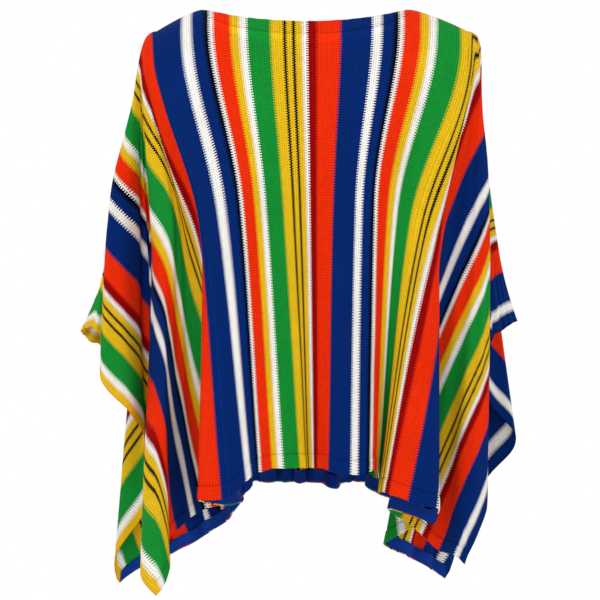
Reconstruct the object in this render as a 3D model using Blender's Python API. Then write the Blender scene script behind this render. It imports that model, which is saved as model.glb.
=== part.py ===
"""Poncho sweater: a wide knitted rectangle with a boat neck, worn and hanging from the shoulders.

Units are metres, +Z up, +X to the viewer's right, -Y to the front. The origin is the middle of
the shoulder line between the two neck corners. The cloth hangs from that line. Between the two
shoulder tips every fold runs down along the stripes; beyond a tip the cloth fans round the tip,
so its folds are rays from the tip. Each row of the fold tables is one such line.
"""

import math
from collections import namedtuple

import bmesh
import bpy
import numpy as np

MM = 0.001
PERCENT = 0.01
SAME_PLACE = 1e-6

# The cut, in metres of hung cloth.
FRONT_LENGTH = 0.662
BACK_LENGTH = 0.680
SIDE_REACH = 0.410
NECK_HALF_WIDTH = 0.1404
NECK_SCOOP = 0.056
NECK_BAND = 0.022
HEM_BAND = 0.018

# The walls.
KNIT_WALL = 0.0016
FACING_WALL = 0.0012
SEAM_GAP = 0.0003
SEAM_SHARE = 0.7
NECK_CORNER_ROOM = 0.0002
NECK_FACING_INSET = 0.004

# Where the shoulders carry the cloth. SHOULDER_CURVE bends the slope from the neck to a tip. The
# cloth rounds a tip on an oval that is OVAL_DEPTH times as deep as it is wide.
LEFT_TIP = -0.201
RIGHT_TIP = 0.218
TIP_DROP = 0.029
SHOULDER_CURVE = 1.3
OVAL_DEPTH = 2.6
OVAL_STEPS = 91
SHOULDER_DEPTH = {"front": -0.060, "back": 0.055}
CHEST_DEPTH = {"front": -0.085, "back": 0.072}
CAP_WIDTH = {"left": 0.018, "right": 0.019}

# The cloth leaves the shoulder line level, and bends down over about FLAT_REACH.
FLAT_REACH = 0.026
FACING_WAY = {"front": -1, "back": 1}

# Distances down a fold line: the folds start to grow at the first, and the tables place the line
# at the other two. TOP_SHARE is how much of the fold already shows at the first. A line is walked
# in WALK_STEPS steps, and each step drops by at least LEAST_DROP of its length.
TOP = 0.070
TOP_WIDTH = {"left": 0.025, "right": 0.018}
TOP_SHARE = 0.05
MID = 0.310
LOW = 0.620
WALK_STEPS = 160
LEAST_DROP = 0.05

# Grid of each panel. The rows between the bands crowd a little towards the shoulder.
COLUMN_STEP = 0.0125
ROWS_BETWEEN_BANDS = 11
ROW_CROWDING = 1.25
SMOOTH_ANGLE = 50

# start: millimetres along the shoulder line. angle: 0 along the shoulder line, 90 down the stripes.
# mid and low: where the line passes at MID and LOW, in millimetres. stretch: how much longer than
# cut the line hangs, in percent; it grows from nothing at the shoulder.
Fold = namedtuple("Fold", "name start angle mid_x mid_y low_x low_y stretch")

FRONT_FOLDS = [
    Fold("left ridge", -201, 0, -268, 5, -358, 98, 2),
    Fold("left side face", -201, 6, -268, -5, -334, 34, 1),
    Fold("left side corner", -201, 10.5, -264, -12, -312, -8, 1),
    Fold("left side pleat", -201, 15.5, -250, -12, -254, -16, 0),
    Fold("left side pleat, bottom", -201, 19.5, -243, -15, -227, -25, 0),
    Fold("left side pleat, out", -201, 23, -247, -22, -238, -36, 0),
    Fold("left outer edge, behind", -201, 27, -260, -31, -263, -46, 0),
    Fold("left outer edge", -201, 31.5, -267, -44, -278, -62, 0),
    Fold("left outer edge, front", -201, 35, -260, -52, -264, -70, 0),
    Fold("left outer fold", -201, 39, -243, -46, -230, -61, 0),
    Fold("left outer fold, inner side", -201, 43.5, -223, -20, -213, -22, 0),
    Fold("behind the tail", -201, 50, -213, -9, -206, -7, 0),
    Fold("behind the tail, turn", -201, 53.7, -207, -17, -202, -28, 0),
    Fold("tail, left edge", -201, 56.4, -206, -27, -215, -55, 0),
    Fold("tail, front", -201, 59, -206, -42, -193, -89, -1),
    Fold("tail, right edge", -201, 62.5, -191, -57, -182, -84, -2),
    Fold("valley, left edge", -201, 66, -177, -60, -181, -58, -2),
    Fold("valley, left side", -201, 69.5, -169, -54, -166, -38, -2),
    Fold("valley floor", -201, 74, -161, -51, -142, -31, -2),
    Fold("valley, right side", -201, 78, -152, -54, -98, -50, -1),
    Fold("behind the front edge", -201, 82, -141, -60, -118, -84, 0),
    Fold("behind the front edge, turn", -201, 84.3, -136, -68, -133, -94, 0),
    Fold("front panel, left edge", -201, 86.2, -135, -77, -141, -105, 0),
    Fold("front panel, left turn", -201, 88.6, -139, -90, -118, -117, 0),
    Fold("left shoulder line", -201, 90, -134, -96, -105, -119, 0),
    Fold("left ridge fold", -168, 90, -117, -107, -83, -119, 0),
    Fold("left neck corner", -140.4, 90, -93, -111, -69, -113, 0),
    Fold("soft fold 1", -95, 90, -63, -115, -43, -121, -1),
    Fold("soft fold 2", -50, 90, -32, -117, -12, -118, -1),
    Fold("centre valley", 3, 90, 6, -117, 10, -108, -1),
    Fold("centre valley, right", 30, 90, 24, -117, 21, -115, -1),
    Fold("centre lobe", 70, 90, 51, -116, 45, -125, 0),
    Fold("centre lobe, right", 110, 90, 79, -113, 73, -120, 0),
    Fold("right neck corner", 140.4, 90, 98, -109, 90, -110, -1),
    Fold("front pleat, left side", 163, 90, 112, -105, 95, -92, -1),
    Fold("front pleat, bottom", 186, 90, 124, -101, 99, -76, 0),
    Fold("front pleat, right side", 205, 90, 134, -100, 101, -84, 0),
    Fold("right shoulder line", 218, 90, 142, -99, 101, -94, 0),
    Fold("right panel", 218, 86, 158, -96, 111, -115, -1),
    Fold("right panel, middle", 218, 83, 172, -88, 135, -118, -1),
    Fold("right panel, outer", 218, 80.7, 177, -79, 154, -117, -1),
    Fold("front panel, right edge", 218, 78.5, 176, -72, 173, -106, -1),
    Fold("behind the right edge", 218, 77, 178, -67, 168, -93, 1),
    Fold("behind the right edge, inner", 218, 75, 181, -62, 149, -80, -1),
    Fold("right pleat", 218, 72, 185, -54, 124, -62, -3),
    Fold("right pleat, bottom", 218, 69, 193, -46, 146, -40, -3),
    Fold("right fold, left side", 218, 64, 209, -46, 180, -42, -3),
    Fold("right fold", 218, 58.5, 231, -52, 214, -66, -6),
    Fold("right fold, outer edge", 218, 53, 244, -42, 240, -50, -4),
    Fold("behind the right fold", 218, 46.5, 238, -18, 232, -18, -3),
    Fold("right side pleat", 218, 37, 228, -2, 220, -4, 0),
    Fold("right side pleat, out", 218, 27, 232, 12, 232, 18, 0),
    Fold("right side face", 218, 17, 246, 25, 268, 38, 0),
    Fold("right ridge", 218, 0, 266, 52, 378, 122, 1),
]

BACK_FOLDS = [
    Fold("left ridge", -201, 0, -268, 5, -358, 98, 2),
    Fold("left outer corner", -201, 14, -268, 38, -412, 150, 3),
    Fold("left outer corner, behind", -201, 22, -263, 56, -318, 126, 2),
    Fold("left back pleat, out", -201, 31, -249, 64, -262, 98, 0),
    Fold("left back pleat", -201, 38, -232, 66, -228, 92, 0),
    Fold("left back pleat, bottom", -201, 45, -214, 70, -204, 92, 0),
    Fold("left back fold, inner side", -201, 52.5, -221, 82, -222, 104, 0),
    Fold("left back fold, edge", -201, 57.6, -231, 90, -258, 112, 0),
    Fold("left back corner", -201, 60.5, -221, 96, -238, 124, 0),
    Fold("left back", -201, 65, -204, 98, -200, 124, 1),
    Fold("left back, middle", -201, 72, -181, 99, -146, 118, 1.5),
    Fold("left back, inner", -201, 80, -155, 101, -106, 104, 1),
    Fold("left shoulder line", -201, 90, -132, 102, -94, 101, 0),
    Fold("back fold 1", -168, 90, -118, 103, -83, 108, 0),
    Fold("left neck corner", -140.4, 90, -101, 103, -72, 104, 1),
    Fold("back fold 2", -100, 90, -72, 105, -54, 104, 1),
    Fold("back fold 3", -60, 90, -44, 107, -33, 115, 1),
    Fold("back fold 4", -15, 90, -12, 106, -8, 103, 1),
    Fold("back fold 5", 25, 90, 17, 107, 16, 108, 1),
    Fold("back lobe", 65, 90, 46, 106, 42, 116, 2.5),
    Fold("back fold 6", 105, 90, 74, 105, 62, 102, 1),
    Fold("right neck corner", 140.4, 90, 98, 104, 76, 104, 1),
    Fold("back fold 7", 180, 90, 124, 102, 92, 90, 0),
    Fold("right shoulder line", 218, 90, 146, 99, 108, 74, 0),
    Fold("right turn, front", 218, 86, 159, 95, 130, 62, 0),
    Fold("right turn", 218, 82.5, 170, 91, 154, 50, 0),
    Fold("right turn, edge", 218, 79.5, 179, 90, 177, 47, 0),
    Fold("right turn, behind", 218, 77, 185, 92, 172, 63, 0),
    Fold("right back fold, out", 218, 74, 191, 95, 154, 76, 1),
    Fold("right back fold, edge", 218, 70.5, 198, 98, 133, 89, 3),
    Fold("right back", 218, 66.5, 206, 101, 158, 103, 2),
    Fold("right back, outer", 218, 62, 216, 104, 184, 114, 0),
    Fold("right back corner", 218, 57, 229, 107, 220, 126, -1),
    Fold("right back corner, out", 218, 51.5, 247, 107, 254, 134, -1),
    Fold("right back edge", 218, 46, 258, 100, 301, 126, 0),
    Fold("right back edge, inner side", 218, 39, 245, 88, 260, 112, 0),
    Fold("right back pleat, out", 218, 33.5, 237, 84, 245, 108, 0),
    Fold("right back pleat", 218, 30, 233, 79, 237, 101, 0),
    Fold("right back pleat, behind", 218, 26, 237, 75, 246, 96, 0),
    Fold("right side corner, behind", 218, 18, 252, 73, 284, 104, 0),
    Fold("right side corner", 218, 9, 263, 70, 352, 132, 1),
    Fold("right ridge", 218, 0, 266, 52, 378, 122, 1),
]

KNIT_COLOUR = (0.012, 0.045, 0.22, 1.0)
FACING_COLOUR = (0.008, 0.035, 0.20, 1.0)


def smooth_slopes(x, y):
    """Slopes at the given points of a curve that never overshoots them."""
    step = np.diff(x)
    rise = np.diff(y, axis=0) / step[:, None]
    slopes = np.zeros_like(y)
    same_way = rise[:-1] * rise[1:] > 0
    before = (2 * step[1:] + step[:-1])[:, None]
    after = (step[1:] + 2 * step[:-1])[:, None]
    safe_low = np.where(same_way, rise[:-1], 1.0)
    safe_high = np.where(same_way, rise[1:], 1.0)
    slopes[1:-1] = np.where(
        same_way, (before + after) / (before / safe_low + after / safe_high), 0.0
    )
    slopes[0] = rise[0]
    slopes[-1] = rise[-1]
    return slopes


def smooth_through(x, y, at):
    """The smooth curve through (x, y), read at the places in at; it runs on straight past its end."""
    x, y = np.asarray(x, float), np.asarray(y, float)
    slopes = smooth_slopes(x, y)
    k = np.clip(np.searchsorted(x, at, side="right") - 1, 0, len(x) - 2)
    h = (x[k + 1] - x[k])[:, None]
    t = np.minimum((at - x[k])[:, None] / h, 1.0)
    beyond = np.maximum(at - x[-1], 0.0)[:, None]
    return (
        y[k] * (1 + 2 * t) * (1 - t) ** 2
        + slopes[k] * h * t * (1 - t) ** 2
        + y[k + 1] * t**2 * (3 - 2 * t)
        + slopes[k + 1] * h * t**2 * (t - 1)
        + slopes[-1] * beyond
    )


def lines_of(folds, length):
    """Close fold lines read off the smooth curve through the table's rows.

    Each is start, angle, mid_x, mid_y, low_x, low_y, stretch, in metres, radians and shares. A line
    also runs exactly to each corner of the cut and starts at each neck corner.
    """
    table = np.array([f[1:] for f in folds], float) * MM
    table[:, 1] = np.radians([f.angle for f in folds])
    table[:, 6] = [f.stretch * PERCENT for f in folds]
    apart = np.diff(table, axis=0)
    reach = 0.5 * (np.hypot(apart[:, 2], apart[:, 3]) + np.hypot(apart[:, 4], apart[:, 5]))
    place = np.concatenate([[0.0], np.cumsum(reach)])
    wanted = []
    for k, gap in enumerate(reach):
        count = max(2, math.ceil(gap / COLUMN_STEP))
        wanted.extend(place[k] + gap * np.arange(count) / count)
    wanted.append(place[-1])
    lines = smooth_through(place, table, np.array(wanted))
    corner = math.atan2(length, SIDE_REACH)
    for tip in (LEFT_TIP, RIGHT_TIP):
        in_fan = np.abs(lines[:, 0] - tip) < MM
        nearest = np.argmin(np.where(in_fan, np.abs(lines[:, 1] - corner), 9.0))
        lines[nearest, 1] = corner
    return lines


def shoulder_offset(start, angle, side, widths):
    """Where the cloth has left the shoulder: outward beyond a tip, and forward or back.

    Round a tip the lines are spread evenly over a quarter of an oval.
    """
    half_span = np.where(start < 0, -LEFT_TIP, RIGHT_TIP)
    inward = 1 - np.clip(np.abs(start) / half_span, 0, 1) ** 2
    depth = SHOULDER_DEPTH[side] + (CHEST_DEPTH[side] - SHOULDER_DEPTH[side]) * inward
    width = np.where(start < 0, -widths["left"], widths["right"])
    turn = np.linspace(0, math.pi / 2, OVAL_STEPS)
    oval = np.stack([np.cos(turn), OVAL_DEPTH * np.sin(turn)], axis=-1)
    arc = np.concatenate([[0.0], np.cumsum(np.hypot(*np.diff(oval, axis=0).T))])
    evenly = np.interp(angle / (math.pi / 2), arc / arc[-1], turn)
    return np.stack([width * np.cos(evenly), depth * np.sin(evenly)], axis=-1)


def shoulder_height(start):
    """The shoulder line is level at the neck and slopes down to each tip."""
    half_span = np.where(start < 0, -LEFT_TIP, RIGHT_TIP)
    along = np.clip((np.abs(start) - NECK_HALF_WIDTH) / (half_span - NECK_HALF_WIDTH), 0, 1)
    return -TIP_DROP * along**SHOULDER_CURVE


def neck_top(start):
    """How far below the shoulder line the cloth starts: a half ellipse across the neck."""
    across = np.clip(1 - (start / NECK_HALF_WIDTH) ** 2, 0, 1)
    return NECK_SCOOP * np.sqrt(across)


def line_end(angle, length):
    """Where a line meets the hem or the side edge of the cut."""
    to_hem = length / np.maximum(np.sin(angle), 1e-9)
    to_side = SIDE_REACH / np.maximum(np.cos(angle), 1e-9)
    return np.minimum(to_hem, to_side)


def hang(lines, down, side):
    """Points of the cloth at the distances down (lines by rows) along the fold lines."""
    start, angle, stretch = lines[:, 0], lines[:, 1], lines[:, 6]
    anchor = np.stack([start, np.zeros_like(start)], axis=-1)
    offset = shoulder_offset(start, angle, side, CAP_WIDTH)
    below = anchor + shoulder_offset(start, angle, side, TOP_WIDTH)
    below += (lines[:, 2:4] - below) * TOP_SHARE
    marks = np.array([0.0, TOP, MID, LOW])
    reach = np.hypot(offset[:, 0], offset[:, 1])
    flat = np.stack([np.where(start < 0, -1, 1) * np.cos(angle), FACING_WAY[side] * np.sin(angle)])
    flat = (flat * reach).T
    points = np.zeros(down.shape + (3,))
    for i in range(len(lines)):
        along = np.linspace(0, down[i, -1], WALK_STEPS)
        places = np.array([anchor[i] + offset[i], below[i], lines[i, 2:4], lines[i, 4:6]])
        hung = smooth_through(marks, places, along) - anchor[i]
        still_flat = np.exp(-((along / FLAT_REACH) ** 2))[:, None]
        ease = np.tanh(along / reach[i])[:, None]
        path = anchor[i] + ease * (flat[i] * still_flat + hung * (1 - still_flat))
        sideways = np.sum(np.diff(path, axis=0) ** 2, axis=1)
        step = along[1] * (1 + 2 * stretch[i] * (along[1:] / along[-1]))
        drop = np.sqrt(np.maximum(step**2 - sideways, (LEAST_DROP * step) ** 2))
        height = shoulder_height(start[i]) - np.concatenate([[0.0], np.cumsum(drop)])
        for axis, values in enumerate((path[:, 0], path[:, 1], height)):
            points[i, :, axis] = np.interp(down[i], along, values)
    return points


def panel_rows(lines, length):
    """Distances down each line: the neck band's row, even rows, and the hem band's rows."""
    top = neck_top(lines[:, 0])
    top = np.where(np.abs(lines[:, 1] - math.pi / 2) > SAME_PLACE, 0.0, top)
    end = line_end(lines[:, 1], length)
    share = np.linspace(0, 1, ROWS_BETWEEN_BANDS) ** ROW_CROWDING
    upper, lower = top + NECK_BAND, end - HEM_BAND
    between = upper[:, None] + (lower - upper)[:, None] * share[None, :]
    return np.concatenate([top[:, None], between, end[:, None]], axis=1)


def cell_corners(i, j, side):
    """A cell's four corners in the order that faces out."""
    corners = [(i, j), (i, j + 1), (i + 1, j + 1), (i + 1, j)]
    return corners if side == "front" else corners[::-1]


def shared_normals(panels):
    """Outward normals of each panel's points, shared where panels meet."""
    totals = {}
    keys = {}
    for side, points in panels.items():
        columns, rows = points.shape[:2]
        rounded = np.round(points / SAME_PLACE).astype(np.int64)
        keys[side] = [[tuple(rounded[i, j]) for j in range(rows)] for i in range(columns)]
        for i in range(columns - 1):
            for j in range(rows - 1):
                a, b, c, d = (points[k] for k in cell_corners(i, j, side))
                normal = np.cross(c - a, d - b)
                for k in {keys[side][m][n] for m, n in cell_corners(i, j, side)}:
                    totals[k] = totals.get(k, 0.0) + normal
    normals = {}
    for side, grid in keys.items():
        found = np.array([[totals[k] for k in column] for column in grid])
        on_shoulder_line = np.abs(panels[side][:, 0, 1]) < SAME_PLACE
        found[on_shoulder_line, 0, 1] = 0.0
        normals[side] = found / np.linalg.norm(found, axis=2, keepdims=True)
    return normals


def part_at_seams(points, lines, side):
    """Moves the shoulder edge of a panel back from the seam by half the gap."""
    moved = points.copy()
    away = FACING_WAY[side] * SEAM_SHARE * SEAM_GAP
    outside_neck = np.abs(lines[:, 0]) > NECK_HALF_WIDTH - NECK_CORNER_ROOM
    moved[outside_neck, 0, 1] += away
    for column in (0, -1):
        moved[column, 1:, 1] += away
    return moved


def closed_wall(name, outer, inner, guide, side, colour):
    """One closed body between two grids of points. Both are cut across the guide's shorter way."""
    columns, rows = outer.shape[:2]
    mesh = bmesh.new()
    known = {}

    def corner(point):
        key = tuple(np.round(point / SAME_PLACE).astype(np.int64))
        if key not in known:
            known[key] = mesh.verts.new(point)
        return known[key]

    def face(corners):
        kept = []
        for vertex in corners:
            if vertex not in kept:
                kept.append(vertex)
        if len(kept) > 2:
            mesh.faces.new(kept)

    out = [[corner(outer[i, j]) for j in range(rows)] for i in range(columns)]
    back = [[corner(inner[i, j]) for j in range(rows)] for i in range(columns)]
    for i in range(columns - 1):
        for j in range(rows - 1):
            a, b, c, d = cell_corners(i, j, side)
            if np.linalg.norm(guide[a] - guide[c]) > np.linalg.norm(guide[b] - guide[d]):
                a, b, c, d = b, c, d, a
            for three in ((a, b, c), (a, c, d)):
                face([out[m][n] for m, n in three])
                face([back[m][n] for m, n in reversed(three)])
    edge = [(i, 0) for i in range(columns)]
    edge += [(columns - 1, j) for j in range(1, rows)]
    edge += [(i, rows - 1) for i in range(columns - 2, -1, -1)]
    edge += [(0, j) for j in range(rows - 2, 0, -1)]
    for (a, b), (c, d) in zip(edge, edge[1:] + edge[:1]):
        if out[a][b] is not out[c][d]:
            face([out[a][b], out[c][d], back[c][d], back[a][b]])
    bmesh.ops.recalc_face_normals(mesh, faces=mesh.faces)
    data = bpy.data.meshes.new(name)
    mesh.to_mesh(data)
    mesh.free()
    data.shade_smooth()
    data.set_sharp_from_angle(angle=math.radians(SMOOTH_ANGLE))
    body = bpy.data.objects.new(name, data)
    data.materials.append(knit_material(name, colour))
    bpy.context.scene.collection.objects.link(body)
    return body


def knit_material(name, colour):
    material = bpy.data.materials.new(name)
    material.use_nodes = True
    shader = material.node_tree.nodes["Principled BSDF"]
    shader.inputs["Base Color"].default_value = colour
    shader.inputs["Roughness"].default_value = 0.85
    shader.inputs["Metallic"].default_value = 0.0
    return material


def facing(name, points, normals, columns, rows, side):
    """A band sewn to the inside of a panel, made from the panel's points, moved in."""
    base = points[columns][:, rows]
    inward = -normals[columns][:, rows]
    near = base + inward * (KNIT_WALL + SEAM_GAP)
    far = near + inward * FACING_WALL
    return closed_wall(name, near, far, base, side, FACING_COLOUR)


def main():
    for old in list(bpy.data.objects):
        bpy.data.objects.remove(old)
    tables = {"front": (FRONT_FOLDS, FRONT_LENGTH), "back": (BACK_FOLDS, BACK_LENGTH)}
    lines, points = {}, {}
    for side, (folds, length) in tables.items():
        lines[side] = lines_of(folds, length)
        points[side] = hang(lines[side], panel_rows(lines[side], length), side)
    normals = shared_normals(points)
    for side, (folds, length) in tables.items():
        outer = part_at_seams(points[side], lines[side], side)
        inner = outer - normals[side] * KNIT_WALL
        closed_wall(f"{side}_panel", outer, inner, outer, side, KNIT_COLOUR)
        corner = math.atan2(length, SIDE_REACH)
        at_hem = np.flatnonzero(lines[side][:, 1] > corner - SAME_PLACE)
        in_neck = np.flatnonzero(np.abs(lines[side][:, 0]) < NECK_HALF_WIDTH - NECK_FACING_INSET)
        facing(f"{side}_hem_facing", outer, normals[side], at_hem, [-2, -1], side)
        facing(f"{side}_neck_facing", outer, normals[side], in_neck, [0, 1], side)


main()
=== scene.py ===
"""The poncho sweater's looks: knitted panels in stripes, turned neck edge and blue hem facings.

Units are metres, in the CAD's own frame: +Z up, +X to the viewer's right, -Y to the front. The
shape repeats the CAD's fold tables on a finer grid and adds small creases, so each piece lies on
the solid that it stands for.
"""

import math
from collections import namedtuple

import bmesh
import bpy
import numpy as np
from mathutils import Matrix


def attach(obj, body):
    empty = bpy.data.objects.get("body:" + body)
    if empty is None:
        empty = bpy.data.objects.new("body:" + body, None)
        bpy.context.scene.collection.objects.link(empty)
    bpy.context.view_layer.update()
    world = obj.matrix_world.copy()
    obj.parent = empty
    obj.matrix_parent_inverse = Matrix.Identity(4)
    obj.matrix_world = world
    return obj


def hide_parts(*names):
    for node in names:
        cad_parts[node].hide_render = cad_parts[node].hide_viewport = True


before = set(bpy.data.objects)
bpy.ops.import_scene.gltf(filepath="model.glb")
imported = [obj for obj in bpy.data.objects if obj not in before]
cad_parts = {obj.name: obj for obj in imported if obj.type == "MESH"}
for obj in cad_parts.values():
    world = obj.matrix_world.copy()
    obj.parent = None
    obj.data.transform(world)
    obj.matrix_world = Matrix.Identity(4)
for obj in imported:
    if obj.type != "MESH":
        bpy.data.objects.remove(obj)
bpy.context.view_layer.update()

MM = 0.001
PERCENT = 0.01
SAME_PLACE = 1e-6
TINY = 1e-9

# The cut and the walls, as in the CAD.
FRONT_LENGTH = 0.662
BACK_LENGTH = 0.680
SIDE_REACH = 0.410
NECK_HALF_WIDTH = 0.1404
NECK_SCOOP = 0.056
NECK_BAND = 0.022
HEM_BAND = 0.018
KNIT_WALL = 0.0016
FACING_WALL = 0.0012
SEAM_GAP = 0.0003

NECK_CORNER_ROOM = 0.2 * MM
NECK_FACING_INSET = 4 * MM

# Where the shoulders carry the cloth, as in the CAD. Round a tip it leaves along an oval.
LEFT_TIP = -0.201
RIGHT_TIP = 0.218
TIP_DROP = 0.029
SHOULDER_CURVE = 1.3
OVAL_DEPTH = 2.6
OVAL_STEPS = 90
SHOULDER_DEPTH = {"front": -0.060, "back": 0.055}
CHEST_DEPTH = {"front": -0.085, "back": 0.072}
CAP_WIDTH = {"left": 0.018, "right": 0.019}

# The cloth leaves the shoulder line level, and bends down over about FLAT_REACH.
FLAT_REACH = 0.026
FACING_WAY = {"front": -1, "back": 1}

# Distances down a fold line: the folds start to grow at the first, and the tables place the line
# at the other two. TOP_SHARE is how much of the fold already shows at the first. A line is walked
# at WALK_STEPS points, and each step drops by at least LEAST_DROP of its length.
TOP = 0.070
TOP_WIDTH = {"left": 0.025, "right": 0.018}
TOP_SHARE = 0.05
MID = 0.310
LOW = 0.620
WALK_STEPS = 240
LEAST_DROP = 0.05

# The scene's own grid: finer than the CAD's. A column covers at most COLUMN_STEP where the cloth
# hangs, and CUT_STEP_SHARE times that in the cut. The rows crowd a little towards the shoulder.
COLUMN_STEP = 0.0032
CUT_STEP_SHARE = 1.8
MIDDLE_ROWS = 88
ROW_CROWDING = 1.25

# Distances of the rows from an open edge, and of the rows at a groove from the row of stitches. The
# hem facing starts FACING_LIFT above the hem. NO_EDGE stands for a point with no such edge.
EDGE_ROWS = [0.0, 0.0012, 0.003, 0.006, 0.0095, 0.013, 0.0155]
GROOVE_ROWS = [-0.0016, 0.0, 0.0016]
FACING_LIFT = 0.0015
FACING_ROOM = 0.0004
NO_EDGE = 0.1

# Over the right shoulder the knit has crept outwards, so its stripes cross the outline lower: how
# far, and the angles and distances down between which this fades out.
CREEP = 0.014
CREEP_ANGLES = (50, 75)
CREEP_STARTS = 0.040
CREEP_FADES = (0.16, 0.30)

# Places round the cut are lengths: an angle beyond a tip counts at this distance from the tip.
FAN_REACH = 0.620

# Small folds that take up the cloth's spare width: their spacing in the cut, the reach over which
# the spare width is evened out, the row where it is read, the least share that hangs, how full the
# folds are, and how far down they start, over what they grow and how soon.
FLUTE_SPACING = 0.058
SPARE_REACH = 0.030
SPARE_ROW = 0.8
LEAST_HUNG = 0.30
FLUTE_FULLNESS = 1.55
FLUTES_START = 0.05
FLUTES_GROW = 0.40
FLUTE_GROWTH = 1.2

# What makes the small folds uneven: each sways by its height as a sine of the place in the cut.
Sway = namedtuple("Sway", "height reach start")
SPACING_SWAYS = [Sway(0.34, 0.083, 0.0), Sway(0.22, 0.031, 1.0)]
DEPTH_SWAY = Sway(0.2, 0.047, 2.0)

# The share of the spare width that the small folds take at places round the cut, in metres from
# its middle.
Share = namedtuple("Share", "place share")

FRONT_SHARES = [
    Share(-1.16, 0.10), Share(-1.04, 0.20), Share(-0.96, 0.80), Share(-0.90, 0.80),
    Share(-0.84, 0.15), Share(-0.74, 0.20),
    Share(-0.68, 0.75), Share(-0.60, 0.70), Share(-0.56, 0.10), Share(-0.36, 0.12),
    Share(-0.30, 0.30), Share(-0.24, 0.18), Share(0.20, 0.18), Share(0.34, 0.10),
    Share(0.38, 0.45), Share(0.46, 0.30), Share(0.52, 0.12), Share(0.62, 0.14),
    Share(0.68, 0.85), Share(0.98, 0.90), Share(1.06, 0.20), Share(1.16, 0.10),
]
BACK_SHARES = [
    Share(-1.16, 0.10), Share(-1.04, 0.20), Share(-0.96, 0.70), Share(-0.62, 0.65),
    Share(-0.54, 0.20), Share(-0.44, 0.78), Share(0.30, 0.78), Share(0.40, 0.50),
    Share(0.56, 0.65), Share(0.66, 0.22), Share(0.76, 0.22), Share(0.84, 0.75),
    Share(0.98, 0.70), Share(1.06, 0.15), Share(1.16, 0.10),
]

# start: millimetres along the shoulder line. angle: 0 along the shoulder line, 90 down the stripes.
# mid and low: where the line passes at MID and LOW, in millimetres. stretch: in percent.
Fold = namedtuple("Fold", "name start angle mid_x mid_y low_x low_y stretch")

FRONT_FOLDS = [
    Fold("left ridge", -201, 0, -268, 5, -358, 98, 2),
    Fold("left side face", -201, 6, -268, -5, -334, 34, 1),
    Fold("left side corner", -201, 10.5, -264, -12, -312, -8, 1),
    Fold("left side pleat", -201, 15.5, -250, -12, -254, -16, 0),
    Fold("left side pleat, bottom", -201, 19.5, -243, -15, -227, -25, 0),
    Fold("left side pleat, out", -201, 23, -247, -22, -238, -36, 0),
    Fold("left outer edge, behind", -201, 27, -260, -31, -263, -46, 0),
    Fold("left outer edge", -201, 31.5, -267, -44, -278, -62, 0),
    Fold("left outer edge, front", -201, 35, -260, -52, -264, -70, 0),
    Fold("left outer fold", -201, 39, -243, -46, -230, -61, 0),
    Fold("left outer fold, inner side", -201, 43.5, -223, -20, -213, -22, 0),
    Fold("behind the tail", -201, 50, -213, -9, -206, -7, 0),
    Fold("behind the tail, turn", -201, 53.7, -207, -17, -202, -28, 0),
    Fold("tail, left edge", -201, 56.4, -206, -27, -215, -55, 0),
    Fold("tail, front", -201, 59, -206, -42, -193, -89, -1),
    Fold("tail, right edge", -201, 62.5, -191, -57, -182, -84, -2),
    Fold("valley, left edge", -201, 66, -177, -60, -181, -58, -2),
    Fold("valley, left side", -201, 69.5, -169, -54, -166, -38, -2),
    Fold("valley floor", -201, 74, -161, -51, -142, -31, -2),
    Fold("valley, right side", -201, 78, -152, -54, -98, -50, -1),
    Fold("behind the front edge", -201, 82, -141, -60, -118, -84, 0),
    Fold("behind the front edge, turn", -201, 84.3, -136, -68, -133, -94, 0),
    Fold("front panel, left edge", -201, 86.2, -135, -77, -141, -105, 0),
    Fold("front panel, left turn", -201, 88.6, -139, -90, -118, -117, 0),
    Fold("left shoulder line", -201, 90, -134, -96, -105, -119, 0),
    Fold("left ridge fold", -168, 90, -117, -107, -83, -119, 0),
    Fold("left neck corner", -140.4, 90, -93, -111, -69, -113, 0),
    Fold("soft fold 1", -95, 90, -63, -115, -43, -121, -1),
    Fold("soft fold 2", -50, 90, -32, -117, -12, -118, -1),
    Fold("centre valley", 3, 90, 6, -117, 10, -108, -1),
    Fold("centre valley, right", 30, 90, 24, -117, 21, -115, -1),
    Fold("centre lobe", 70, 90, 51, -116, 45, -125, 0),
    Fold("centre lobe, right", 110, 90, 79, -113, 73, -120, 0),
    Fold("right neck corner", 140.4, 90, 98, -109, 90, -110, -1),
    Fold("front pleat, left side", 163, 90, 112, -105, 95, -92, -1),
    Fold("front pleat, bottom", 186, 90, 124, -101, 99, -76, 0),
    Fold("front pleat, right side", 205, 90, 134, -100, 101, -84, 0),
    Fold("right shoulder line", 218, 90, 142, -99, 101, -94, 0),
    Fold("right panel", 218, 86, 158, -96, 111, -115, -1),
    Fold("right panel, middle", 218, 83, 172, -88, 135, -118, -1),
    Fold("right panel, outer", 218, 80.7, 177, -79, 154, -117, -1),
    Fold("front panel, right edge", 218, 78.5, 176, -72, 173, -106, -1),
    Fold("behind the right edge", 218, 77, 178, -67, 168, -93, 1),
    Fold("behind the right edge, inner", 218, 75, 181, -62, 149, -80, -1),
    Fold("right pleat", 218, 72, 185, -54, 124, -62, -3),
    Fold("right pleat, bottom", 218, 69, 193, -46, 146, -40, -3),
    Fold("right fold, left side", 218, 64, 209, -46, 180, -42, -3),
    Fold("right fold", 218, 58.5, 231, -52, 214, -66, -6),
    Fold("right fold, outer edge", 218, 53, 244, -42, 240, -50, -4),
    Fold("behind the right fold", 218, 46.5, 238, -18, 232, -18, -3),
    Fold("right side pleat", 218, 37, 228, -2, 220, -4, 0),
    Fold("right side pleat, out", 218, 27, 232, 12, 232, 18, 0),
    Fold("right side face", 218, 17, 246, 25, 268, 38, 0),
    Fold("right ridge", 218, 0, 266, 52, 378, 122, 1),
]

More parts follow.
